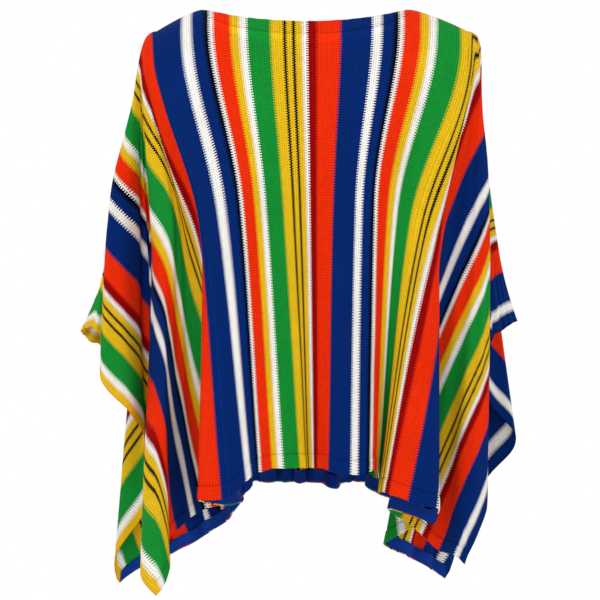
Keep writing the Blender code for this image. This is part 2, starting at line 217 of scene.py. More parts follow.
BACK_FOLDS = [
    Fold("left ridge", -201, 0, -268, 5, -358, 98, 2),
    Fold("left outer corner", -201, 14, -268, 38, -412, 150, 3),
    Fold("left outer corner, behind", -201, 22, -263, 56, -318, 126, 2),
    Fold("left back pleat, out", -201, 31, -249, 64, -262, 98, 0),
    Fold("left back pleat", -201, 38, -232, 66, -228, 92, 0),
    Fold("left back pleat, bottom", -201, 45, -214, 70, -204, 92, 0),
    Fold("left back fold, inner side", -201, 52.5, -221, 82, -222, 104, 0),
    Fold("left back fold, edge", -201, 57.6, -231, 90, -258, 112, 0),
    Fold("left back corner", -201, 60.5, -221, 96, -238, 124, 0),
    Fold("left back", -201, 65, -204, 98, -200, 124, 1),
    Fold("left back, middle", -201, 72, -181, 99, -146, 118, 1.5),
    Fold("left back, inner", -201, 80, -155, 101, -106, 104, 1),
    Fold("left shoulder line", -201, 90, -132, 102, -94, 101, 0),
    Fold("back fold 1", -168, 90, -118, 103, -83, 108, 0),
    Fold("left neck corner", -140.4, 90, -101, 103, -72, 104, 1),
    Fold("back fold 2", -100, 90, -72, 105, -54, 104, 1),
    Fold("back fold 3", -60, 90, -44, 107, -33, 115, 1),
    Fold("back fold 4", -15, 90, -12, 106, -8, 103, 1),
    Fold("back fold 5", 25, 90, 17, 107, 16, 108, 1),
    Fold("back lobe", 65, 90, 46, 106, 42, 116, 2.5),
    Fold("back fold 6", 105, 90, 74, 105, 62, 102, 1),
    Fold("right neck corner", 140.4, 90, 98, 104, 76, 104, 1),
    Fold("back fold 7", 180, 90, 124, 102, 92, 90, 0),
    Fold("right shoulder line", 218, 90, 146, 99, 108, 74, 0),
    Fold("right turn, front", 218, 86, 159, 95, 130, 62, 0),
    Fold("right turn", 218, 82.5, 170, 91, 154, 50, 0),
    Fold("right turn, edge", 218, 79.5, 179, 90, 177, 47, 0),
    Fold("right turn, behind", 218, 77, 185, 92, 172, 63, 0),
    Fold("right back fold, out", 218, 74, 191, 95, 154, 76, 1),
    Fold("right back fold, edge", 218, 70.5, 198, 98, 133, 89, 3),
    Fold("right back", 218, 66.5, 206, 101, 158, 103, 2),
    Fold("right back, outer", 218, 62, 216, 104, 184, 114, 0),
    Fold("right back corner", 218, 57, 229, 107, 220, 126, -1),
    Fold("right back corner, out", 218, 51.5, 247, 107, 254, 134, -1),
    Fold("right back edge", 218, 46, 258, 100, 301, 126, 0),
    Fold("right back edge, inner side", 218, 39, 245, 88, 260, 112, 0),
    Fold("right back pleat, out", 218, 33.5, 237, 84, 245, 108, 0),
    Fold("right back pleat", 218, 30, 233, 79, 237, 101, 0),
    Fold("right back pleat, behind", 218, 26, 237, 75, 246, 96, 0),
    Fold("right side corner, behind", 218, 18, 252, 73, 284, 104, 0),
    Fold("right side corner", 218, 9, 263, 70, 352, 132, 1),
    Fold("right ridge", 218, 0, 266, 52, 378, 122, 1),
]

# Small creases on top of the folds: a soft ridge (+) or trough (-) from one place in the cut to
# another, in millimetres across and down the cut, with its half width and height.
Crease = namedtuple("Crease", "across_1 down_1 across_2 down_2 half_width height")

FRONT_CREASES = [
    Crease(-182, 40, -120, 300, 13, 2.4),
    Crease(-150, 60, -95, 420, 12, -2.2),
    Crease(-112, 150, -92, 600, 11, 2.8),
    Crease(-70, 190, -64, 655, 12, -3.0),
    Crease(-30, 130, -34, 640, 14, 2.2),
    Crease(4, 230, 2, 660, 13, -3.4),
    Crease(50, 160, 60, 520, 13, 2.2),
    Crease(96, 210, 92, 640, 12, -2.6),
    Crease(140, 90, 128, 560, 12, 2.4),
    Crease(176, 60, 182, 300, 11, -2.6),
    Crease(212, 60, 250, 330, 12, 2.2),
    Crease(262, 80, 300, 400, 13, -2.0),
    Crease(300, 60, 380, 260, 14, 2.4),
    Crease(-250, 70, -300, 380, 14, 2.2),
    Crease(-290, 40, -400, 300, 14, -2.2),
    Crease(-330, 30, -470, 230, 15, 2.6),
    Crease(-360, 14, -560, 130, 15, -2.0),
    Crease(350, 24, 560, 150, 16, -2.2),
]

BACK_CREASES = [
    Crease(-176, 50, -130, 330, 13, 2.2),
    Crease(-128, 90, -112, 500, 12, -2.4),
    Crease(-80, 160, -84, 640, 13, 2.6),
    Crease(-36, 120, -30, 600, 14, -2.2),
    Crease(8, 200, 12, 670, 13, 2.8),
    Crease(48, 110, 44, 540, 13, -2.4),
    Crease(88, 180, 98, 660, 12, 2.4),
    Crease(130, 80, 124, 450, 13, -2.0),
    Crease(178, 60, 170, 380, 12, 2.4),
    Crease(240, 60, 280, 380, 13, -2.2),
    Crease(310, 50, 400, 300, 14, 2.2),
    Crease(-260, 60, -330, 360, 14, 2.2),
    Crease(-320, 36, -470, 250, 15, -2.2),
]

# Stripes across the cut, in millimetres of one repeat, from the viewer's left.
Stripe = namedtuple("Stripe", "colour width")

STRIPES = [
    Stripe("dark red", 12.5),
    Stripe("orange", 32.2),
    Stripe("blue", 42.7),
    Stripe("white", 11.6),
    Stripe("shaded white", 1.5),
    Stripe("blue", 15.8),
    Stripe("black", 6.6),
    Stripe("white", 4.9),
    Stripe("shaded white", 1.7),
    Stripe("orange", 22.4),
    Stripe("yellow", 12.5),
    Stripe("white", 9.2),
    Stripe("green", 32.2),
    Stripe("yellow", 15.8),
    Stripe("black", 4.6),
    Stripe("yellow", 7.2),
    Stripe("black", 4.6),
    Stripe("yellow", 9.2),
    Stripe("shaded white", 1.9),
    Stripe("white", 6.0),
]
REPEAT = MM * sum(stripe.width for stripe in STRIPES)
FIRST_STRIPE = 1.2 * MM

COLOURS = {
    "dark red": (0.275, 0.001, 0.001),
    "orange": (0.790, 0.026, 0.002),
    "blue": (0.0008, 0.019, 0.140),
    "white": (0.830, 0.815, 0.780),
    "shaded white": (0.600, 0.490, 0.440),
    "black": (0.001, 0.002, 0.006),
    "yellow": (0.730, 0.455, 0.010),
    "green": (0.007, 0.250, 0.030),
}
FACING_COLOUR = (0.0005, 0.030, 0.235)

# The knit: ribs run down the stripes, stitches follow one another along each rib.
RIB = 0.0032
STITCH = 0.0036
JAG = 0.0036

# The two black lines, in metres from the start of a repeat; their edges have finer teeth.
LINES_FROM = 0.212
LINES_TO = 0.246
LINE_JAG = 0.0019

# A tooth of a stripe's edge rises between these shares of a stitch, and its end wanders a little.
TOOTH_RISE = (0.17, 0.33)
WANDER = 0.0012

# Grain of the noises, in waves to the metre, and the range that most of a noise lies in.
WANDER_GRAIN = 260.0
FIBRE_GRAIN = 1500.0
MOTTLE_GRAIN = 14.0
TAPE_FIBRE_GRAIN = 1800.0
TAPE_MOTTLE_GRAIN = 40.0
NOISE_RANGE = (0.3, 0.7)

# Shading and tone of the knit: the factors on its colour where each detail is darkest and lightest.
# The rib and loop factors are painted shade, darker in the grooves between the ribs and in the gaps
# between the loops; the stitch and mottle factors are the yarn's own uneven tone. A rib is rounded
# by RIB_POWER and lightest from RIB_FULL up, and a loop is lightest from LOOP_FULL up.
RIB_POWER = 0.6
RIB_FULL = 0.75
RIB_PAINTED_SHADES = (0.66, 1.05)
LOOP_FULL = 0.2
LOOP_PAINTED_SHADES = (0.84, 1.03)
STITCH_SHADES = (0.93, 1.05)
MOTTLE_SHADES = (0.95, 1.04)
SEAM_SHADE = 0.62
PURL_SHADE = 0.93

# The neck band is a little darker than the knit, and the knit just below it is looser and lighter.
BAND_SHADE = 0.97
BAND_FADE = 0.001
LOOSE_SHADE = 1.12
LOOSE_REACH = (0.012, 0.016)

# Relief of the knit: how much each detail adds to the bump, for the face and for the reverse. A
# bump has its distance and its strength.
Relief = namedtuple("Relief", "slant rib loop")
FACE_RELIEF = Relief(0.9, 0.75, 0.25)
PURL_RELIEF = Relief(0.0, 0.35, 0.45)
FIBRE_RELIEF = 0.30
SEAM_RELIEF = -0.5
KNIT_BUMP = (0.0009, 0.8)
KNIT_ROUGHNESS = (0.78, 0.92)
KNIT_SPECULAR = 0.03
KNIT_SHEEN = 0.01
KNIT_SHEEN_ROUGHNESS = 0.5

# The blue facing: a fine tape with its own ribs, rows and relief.
TAPE_RIB = 0.0016
TAPE_ROW = 0.0013
# The tape's rib factors are painted shade, darker in the grooves between its ribs.
TAPE_RIB_PAINTED_SHADES = (0.86, 1.04)
TAPE_MOTTLE_SHADES = (0.90, 1.08)
TAPE_SEAM_SHADE = 0.70
TAPE_ROW_RELIEF = 0.15
TAPE_FIBRE_RELIEF = 0.25
TAPE_SEAM_RELIEF = -0.6
TAPE_BUMP = (0.0004, 0.6)
TAPE_ROUGHNESS = (0.70, 0.86)
TAPE_SPECULAR = 0.10
TAPE_SHEEN = 0.02

# Rows of stitches: their spacing, the half width of the thread where it is full and where it has
# faded, the share of the spacing between stitches, and where the tape's two rows lie.
STITCH_SPACING = 0.0042
THREAD_EDGE = (0.0004, 0.0009)
STITCH_ENDS = (0.10, 0.20)
TAPE_TOP_ROW = HEM_BAND - 0.0025
TAPE_LOW_ROW = 0.0045

# The stitched bands stand proud of the knit; a groove runs along each row of stitches, and the
# open edges ripple.
HEM_LIFT = 0.7 * MM
NECK_LIFT = 0.5 * MM
GROOVE_DEPTH = 0.8 * MM
GROOVE_WIDTH = 0.0014
RIPPLE_HEIGHT = 0.20 * MM
RIPPLE_SPACINGS = (0.031, 0.019)
RIPPLE_REACH = 0.012

# A crease starts a little before its first place and fades towards its ends. All that is added to
# the folds fades out within RIDGE_COLUMNS of a ridge and SHOULDER_CALM of the shoulder.
CREASE_START = 0.08
CREASE_FADE = 0.5
RIDGE_COLUMNS = 6
SHOULDER_CALM = 0.03

# The floor lies well below the hanging cloth.
FLOOR_HALF = 1.6
FLOOR_LEVEL = -1.30
FLOOR_COLOUR = (0.86, 0.86, 0.85)
FLOOR_ROUGHNESS = 0.8

# Large soft lights: where they stand, their width and their power in watts, and what they face.
Light = namedtuple("Light", "name place size power")
LIGHTS = [
    Light("key", (-1.3, -2.0, 0.9), 1.2, 16.0),
    Light("fill", (1.5, -1.6, 0.1), 1.6, 6.0),
    Light("rear", (0.4, 1.9, 0.8), 1.4, 10.0),
]
LIGHTS_FACE = (0.0, 0.0, -0.40)

# The camera looks level along +Y, as the photograph does; lens and sensor in millimetres.
CAMERA_PLACE = (-0.008, -2.7, -0.3915)
CAMERA_LENS = 120.0
CAMERA_SENSOR = 36.0
CAMERA_NEAREST = 0.05


def smooth_slopes(x, y):
    """Slopes at the given points of a curve that never overshoots them."""
    step = np.diff(x)
    rise = np.diff(y, axis=0) / step[:, None]
    slopes = np.zeros_like(y)
    same_way = rise[:-1] * rise[1:] > 0
    before = (2 * step[1:] + step[:-1])[:, None]
    after = (step[1:] + 2 * step[:-1])[:, None]
    safe_low = np.where(same_way, rise[:-1], 1.0)
    safe_high = np.where(same_way, rise[1:], 1.0)
    slopes[1:-1] = np.where(
        same_way, (before + after) / (before / safe_low + after / safe_high), 0.0
    )
    slopes[0] = rise[0]
    slopes[-1] = rise[-1]
    return slopes


def smooth_through(x, y, at):
    """The smooth curve through (x, y), read at the places in at; it runs on straight past its end."""
    x, y = np.asarray(x, float), np.asarray(y, float)
    slopes = smooth_slopes(x, y)
    k = np.clip(np.searchsorted(x, at, side="right") - 1, 0, len(x) - 2)
    h = (x[k + 1] - x[k])[:, None]
    t = np.minimum((at - x[k])[:, None] / h, 1.0)
    beyond = np.maximum(at - x[-1], 0.0)[:, None]
    return (
        y[k] * (1 + 2 * t) * (1 - t) ** 2
        + slopes[k] * h * t * (1 - t) ** 2
        + y[k + 1] * t**2 * (3 - 2 * t)
        + slopes[k + 1] * h * t**2 * (t - 1)
        + slopes[-1] * beyond
    )


def cut_place(lines):
    """How far round the cut each line is, from the middle: along the shoulder, then round a tip."""
    way = np.where(lines[:, 0] < 0, -1, 1)
    return lines[:, 0] + way * FAN_REACH * (math.pi / 2 - lines[:, 1])


def lines_of(folds, length):
    """Close fold lines read off the smooth curve through the table's rows, as in the CAD."""
    table = np.array([f[1:] for f in folds], float) * MM
    table[:, 1] = np.radians([f.angle for f in folds])
    table[:, 6] *= PERCENT / MM
    apart = np.diff(table, axis=0)
    reach = 0.5 * (np.hypot(apart[:, 2], apart[:, 3]) + np.hypot(apart[:, 4], apart[:, 5]))
    place = np.concatenate([[0.0], np.cumsum(reach)])
    in_cut = np.diff(cut_place(table)) / CUT_STEP_SHARE
    wanted = []
    for k, gap in enumerate(reach):
        count = max(2, math.ceil(max(gap, in_cut[k]) / COLUMN_STEP))
        wanted.extend(place[k] + gap * np.arange(count) / count)
    wanted.append(place[-1])
    lines = smooth_through(place, table, np.array(wanted))
    corner = math.atan2(length, SIDE_REACH)
    for tip in (LEFT_TIP, RIGHT_TIP):
        in_fan = np.abs(lines[:, 0] - tip) < MM
        nearest = np.argmin(np.where(in_fan, np.abs(lines[:, 1] - corner), np.inf))
        lines[nearest, 1] = corner
    return lines


def shoulder_offset(start, angle, side, widths):
    """Where the cloth has left the shoulder: outward beyond a tip, and forward or back."""
    half_span = np.where(start < 0, -LEFT_TIP, RIGHT_TIP)
    inward = 1 - np.clip(np.abs(start) / half_span, 0, 1) ** 2
    depth = SHOULDER_DEPTH[side] + (CHEST_DEPTH[side] - SHOULDER_DEPTH[side]) * inward
    width = np.where(start < 0, -widths["left"], widths["right"])
    turn = np.linspace(0, math.pi / 2, OVAL_STEPS + 1)
    oval = np.stack([np.cos(turn), OVAL_DEPTH * np.sin(turn)], axis=-1)
    arc = np.concatenate([[0.0], np.cumsum(np.hypot(*np.diff(oval, axis=0).T))])
    evenly = np.interp(angle / (math.pi / 2), arc / arc[-1], turn)
    return np.stack([width * np.cos(evenly), depth * np.sin(evenly)], axis=-1)


def shoulder_height(start):
    """The shoulder line is level at the neck and slopes down to each tip."""
    half_span = np.where(start < 0, -LEFT_TIP, RIGHT_TIP)
    along = np.clip((np.abs(start) - NECK_HALF_WIDTH) / (half_span - NECK_HALF_WIDTH), 0, 1)
    return -TIP_DROP * along**SHOULDER_CURVE


def neck_top(start):
    """How far below the shoulder line the cloth starts: a half ellipse across the neck."""
    across = np.clip(1 - (start / NECK_HALF_WIDTH) ** 2, 0, 1)
    return NECK_SCOOP * np.sqrt(across)


def line_end(angle, length):
    """Where a line meets the hem or the side edge of the cut."""
    to_hem = length / np.maximum(np.sin(angle), TINY)
    to_side = SIDE_REACH / np.maximum(np.cos(angle), TINY)
    return np.minimum(to_hem, to_side)


def hang(lines, down, side):
    """Points of the cloth at the distances down (lines by rows) along the fold lines."""
    start, angle, stretch = lines[:, 0], lines[:, 1], lines[:, 6]
    anchor = np.stack([start, np.zeros_like(start)], axis=-1)
    offset = shoulder_offset(start, angle, side, CAP_WIDTH)
    below = anchor + shoulder_offset(start, angle, side, TOP_WIDTH)
    below += (lines[:, 2:4] - below) * TOP_SHARE
    marks = np.array([0.0, TOP, MID, LOW])
    reach = np.hypot(offset[:, 0], offset[:, 1])
    flat = np.stack([np.where(start < 0, -1, 1) * np.cos(angle), FACING_WAY[side] * np.sin(angle)])
    flat = (flat * reach).T
    points = np.zeros(down.shape + (3,))
    for i in range(len(lines)):
        along = np.linspace(0, down[i, -1], WALK_STEPS)
        places = np.array([anchor[i] + offset[i], below[i], lines[i, 2:4], lines[i, 4:6]])
        hung = smooth_through(marks, places, along) - anchor[i]
        still_flat = np.exp(-((along / FLAT_REACH) ** 2))[:, None]
        ease = np.tanh(along / reach[i])[:, None]
        path = anchor[i] + ease * (flat[i] * still_flat + hung * (1 - still_flat))
        sideways = np.sum(np.diff(path, axis=0) ** 2, axis=1)
        step = along[1] * (1 + 2 * stretch[i] * (along[1:] / along[-1]))
        drop = np.sqrt(np.maximum(step**2 - sideways, (LEAST_DROP * step) ** 2))
        height = shoulder_height(start[i]) - np.concatenate([[0.0], np.cumsum(drop)])
        for axis, values in enumerate((path[:, 0], path[:, 1], height)):
            points[i, :, axis] = np.interp(down[i], along, values)
    return points


def panel_rows(lines, length):
    """Distances down each line: close rows at the edges and stitch lines, even rows between."""
    top = neck_top(lines[:, 0])
    top = np.where(np.abs(lines[:, 1] - math.pi / 2) > SAME_PLACE, 0.0, top)
    end = line_end(lines[:, 1], length)
    neck_rows = EDGE_ROWS + [NECK_BAND + g for g in GROOVE_ROWS]
    hem_rows = [HEM_BAND - g for g in GROOVE_ROWS] + EDGE_ROWS[-2::-1]
    share = np.linspace(0, 1, MIDDLE_ROWS)[1:-1] ** ROW_CROWDING
    upper, lower = top + neck_rows[-1], end - hem_rows[0]
    between = upper[:, None] + (lower - upper)[:, None] * share[None, :]
    neck = top[:, None] + np.array(neck_rows)
    hem = end[:, None] - np.array(hem_rows)
    return np.concatenate([neck, between, hem], axis=1)


def cut_places(lines, down):
    """Where each point lies in the flat cut: across it from the middle, and down from the shoulder."""
    way = np.where(lines[:, 0] < 0, -1, 1)[:, None]
    across = lines[:, :1] + way * down * np.cos(lines[:, 1:2])
    return np.stack([across, down * np.sin(lines[:, 1:2])], axis=-1)


def crept(lines, down):
    """How far the knit has crept outwards over the right shoulder, at each point."""
    low, high = np.radians(CREEP_ANGLES)
    at_tip = np.abs(lines[:, 0] - RIGHT_TIP) < SAME_PLACE
    turned = at_tip * np.clip((high - lines[:, 1]) / (high - low), 0, 1)
    near = np.clip(down / CREEP_STARTS, 0, 1)
    far = np.clip((CREEP_FADES[1] - down) / (CREEP_FADES[1] - CREEP_FADES[0]), 0, 1)
    return CREEP * (turned**2 * (3 - 2 * turned))[:, None] * near * far**2 * (3 - 2 * far)


def crease_height(places, creases):
    """How far the creases lift the cloth at each place in the cut."""
    total = np.zeros(places.shape[:2])
    for crease in creases:
        first = np.array([crease.across_1, crease.down_1]) * MM
        last = np.array([crease.across_2, crease.down_2]) * MM
        run = last - first
        along = np.sum((places - first) * run, axis=2) / np.dot(run, run)
        off = places - first - np.clip(along, 0, 1)[..., None] * run
        off = np.hypot(off[..., 0], off[..., 1]) / (crease.half_width * MM)
        fade = np.sin(math.pi * np.clip(CREASE_START + along, 0, 1)) ** CREASE_FADE
        total += crease.height * MM * np.exp(-(off**2)) * fade
    return total


def flute_height(points, places, lines, rows, side):
    """Uneven small folds, as deep as the width that the cloth has to spare where it hangs."""
    low = int(SPARE_ROW * rows.shape[1])
    hung = np.linalg.norm(np.diff(points[:, low], axis=0), axis=1)
    flat = np.linalg.norm(np.diff(places[:, low], axis=0), axis=1)
    at = cut_place(lines)
    middle = 0.5 * (at[1:] + at[:-1])
    weight = flat * np.exp(-(((at[:, None] - middle) / SPARE_REACH) ** 2))
    share_hung = (weight * (hung / flat)).sum(axis=1) / weight.sum(axis=1)
    share_hung = np.clip(share_hung, LEAST_HUNG, 1.0)
    steep = FLUTE_FULLNESS * np.sqrt(1 / share_hung**2 - 1)
    deepest = steep * share_hung * FLUTE_SPACING / (2 * math.pi)
    shares = np.array(FRONT_SHARES if side == "front" else BACK_SHARES)
    share = np.interp(at, shares[:, 0], shares[:, 1])
    turns = at / FLUTE_SPACING
    for sway in SPACING_SWAYS:
        turns = turns + sway.height * np.sin(at / sway.reach + sway.start)
    uneven = DEPTH_SWAY.height * np.sin(at / DEPTH_SWAY.reach + DEPTH_SWAY.start)
    wave = np.sin(2 * math.pi * turns) * (1 - DEPTH_SWAY.height + uneven)
    grown = np.clip((rows - FLUTES_START) / FLUTES_GROW, 0, 1) ** FLUTE_GROWTH
    return (wave * share * deepest)[:, None] * grown


def grid_normals(points, side):
    """Outward normals of a grid of points."""
    a, b, c, d = points[:-1, :-1], points[:-1, 1:], points[1:, 1:], points[1:, :-1]
    if side == "back":
        a, b, c, d = d, c, b, a
    cell = np.cross(c - a, d - b)
    total = np.zeros_like(points)
    total[:-1, :-1] += cell
    total[:-1, 1:] += cell
    total[1:, 1:] += cell
    total[1:, :-1] += cell
    return total


def shared_normals(points, lines):
    """Outward unit normals of both panels, shared along the ridges and at the shoulder line."""
    normals = {side: grid_normals(points[side], side) for side in points}
    for column in (0, -1):
        both = normals["front"][column] + normals["back"][column]
        normals["front"][column] = normals["back"][column] = both
    for tip in (LEFT_TIP, RIGHT_TIP):
        at_tip = {side: np.abs(lines[side][:, 0] - tip) < SAME_PLACE for side in points}
        both = sum(normals[side][at_tip[side], 0].sum(axis=0) for side in points)
        for side in points:
            normals[side][at_tip[side], 0] = both
    for side in points:
        off_neck = np.abs(lines[side][:, 0]) > NECK_HALF_WIDTH - NECK_CORNER_ROOM
        normals[side][off_neck, 0, 1] = 0.0
        normals[side] /= np.linalg.norm(normals[side], axis=2, keepdims=True)
    return normals


def shell(name, outer, inner, places, edges, open_edge, side, materials):
    """A closed thin piece between two grids of points, with a rounded rim where its edge is open."""
    columns, rows = outer.shape[:2]
    number = np.arange(columns * rows).reshape(columns, rows)
    ring = np.concatenate([number[:, 0], number[-1, 1:], number[-2::-1, -1], number[0, -2:0:-1]])
    flat_outer, flat_inner = outer.reshape(-1, 3), inner.reshape(-1, 3)
    middle = 0.5 * (flat_outer + flat_inner)
    inside = np.zeros_like(outer)
    inside[:, 0] = outer[:, 1] - outer[:, 0]
    inside[:, -1] = outer[:, -2] - outer[:, -1]
    inside[0, 1:-1] = outer[1, 1:-1] - outer[0, 1:-1]
    inside[-1, 1:-1] = outer[-2, 1:-1] - outer[-1, 1:-1]
    inside = inside.reshape(-1, 3)[ring]
    inside /= np.maximum(np.linalg.norm(inside, axis=1, keepdims=True), TINY)
    half = 0.5 * np.linalg.norm(flat_outer - flat_inner, axis=1)[ring]
    rim = middle[ring] - inside * (half * open_edge.reshape(-1)[ring])[:, None]
    vertices = np.concatenate([flat_outer, flat_inner, rim])
    cells = np.stack([number[:-1, :-1], number[:-1, 1:], number[1:, 1:], number[1:, :-1]], axis=-1)
    cells = cells.reshape(-1, 4)
    if side == "back":
        cells = cells[:, ::-1]
    back = cells[:, ::-1] + columns * rows
    after = np.roll(ring, -1)
    rim_number = 2 * columns * rows + np.arange(len(ring))
    rim_after = np.roll(rim_number, -1)
    out_rim = np.stack([ring, after, rim_after, rim_number], axis=-1)
    in_rim = np.stack([rim_number, rim_after, after + columns * rows, ring + columns * rows], axis=-1)
    if side == "back":
        out_rim, in_rim = out_rim[:, ::-1], in_rim[:, ::-1]
    faces = np.concatenate([cells, back, out_rim, in_rim])
    data = bpy.data.meshes.new(name)
    data.from_pydata(vertices.tolist(), [], faces.tolist())
    corner_vertex = faces.reshape(-1)
    for layer_name, grid in (("cut", places), ("edges", edges)):
        flat = grid.reshape(-1, 2)
        value = np.concatenate([flat, flat, flat[ring]])
        layer = data.uv_layers.new(name=layer_name)
        layer.data.foreach_set("uv", value[corner_vertex].astype(np.float32).reshape(-1))
    for material in materials:
        data.materials.append(material)
    which = np.zeros(len(faces), dtype=np.int32)
    which[len(cells):2 * len(cells)] = len(materials) - 1
    data.polygons.foreach_set("material_index", which)
    mesh = bmesh.new()
    mesh.from_mesh(data)
    bmesh.ops.remove_doubles(mesh, verts=mesh.verts, dist=SAME_PLACE)
    bmesh.ops.recalc_face_normals(mesh, faces=mesh.faces)
    mesh.to_mesh(data)
    mesh.free()
    data.shade_smooth()
    piece = bpy.data.objects.new(name, data)
    bpy.context.scene.collection.objects.link(piece)
    return piece


class Nodes:
    """Short ways to add nodes to one material."""

    def __init__(self, material):
        self.tree = material.node_tree
        self.shader = self.tree.nodes["Principled BSDF"]

    def connect(self, source, target):
        """Sets an input to a socket or to a plain value."""
        if isinstance(source, bpy.types.NodeSocket):
            self.tree.links.new(source, target)
        else:
            target.default_value = source

    def math(self, operation, first, second=0.0, third=0.0):
        node = self.tree.nodes.new("ShaderNodeMath")
        node.operation = operation
        for source, target in zip((first, second, third), node.inputs):
            self.connect(source, target)
        return node.outputs[0]

    def between(self, value, low, high, to_low=0.0, to_high=1.0):
        """value moved from the range low to high into another, and held there."""
        node = self.tree.nodes.new("ShaderNodeMapRange")
        for source, target in zip((value, low, high, to_low, to_high), node.inputs):
            self.connect(source, target)
        return node.outputs[0]

    def places(self, layer_name):
        """The two numbers of a UV layer."""
        layer = self.tree.nodes.new("ShaderNodeUVMap")
        layer.uv_map = layer_name
        split = self.tree.nodes.new("ShaderNodeSeparateXYZ")
        self.connect(layer.outputs[0], split.inputs[0])
        return split.outputs[0], split.outputs[1]

    def point(self, x, y):
        node = self.tree.nodes.new("ShaderNodeCombineXYZ")
        self.connect(x, node.inputs[0])
        self.connect(y, node.inputs[1])
        return node.outputs[0]

    def noise(self, vector, scale, detail=2.0):
        node = self.tree.nodes.new("ShaderNodeTexNoise")
        self.connect(vector, node.inputs["Vector"])
        node.inputs["Scale"].default_value = scale
        node.inputs["Detail"].default_value = detail
        return node.outputs[0]

    def speckle(self, vector):
        node = self.tree.nodes.new("ShaderNodeTexWhiteNoise")
        node.noise_dimensions = "2D"
        self.connect(vector, node.inputs["Vector"])
        return node.outputs[0]

    def scaled(self, colour, factor):
        node = self.tree.nodes.new("ShaderNodeVectorMath")
        node.operation = "SCALE"
        self.connect(colour, node.inputs[0])
        self.connect(factor, node.inputs["Scale"])
        return node.outputs[0]

    def bump(self, height, distance, strength):
        node = self.tree.nodes.new("ShaderNodeBump")
        node.inputs["Strength"].default_value = strength
        node.inputs["Distance"].default_value = distance
        self.connect(height, node.inputs["Height"])
        return node.outputs[0]


def stitch_line(nodes, distance, across, at):
    """1 on each thread of a row of stitches at that distance from an edge, 0 elsewhere."""
    near = nodes.math("ABSOLUTE", nodes.math("SUBTRACT", distance, at))
    on_line = nodes.between(near, *THREAD_EDGE, 1.0, 0.0)
    dash = nodes.math("PINGPONG", nodes.math("DIVIDE", across, STITCH_SPACING), 0.5)
    return nodes.math("MULTIPLY", on_line, nodes.between(dash, *STITCH_ENDS))


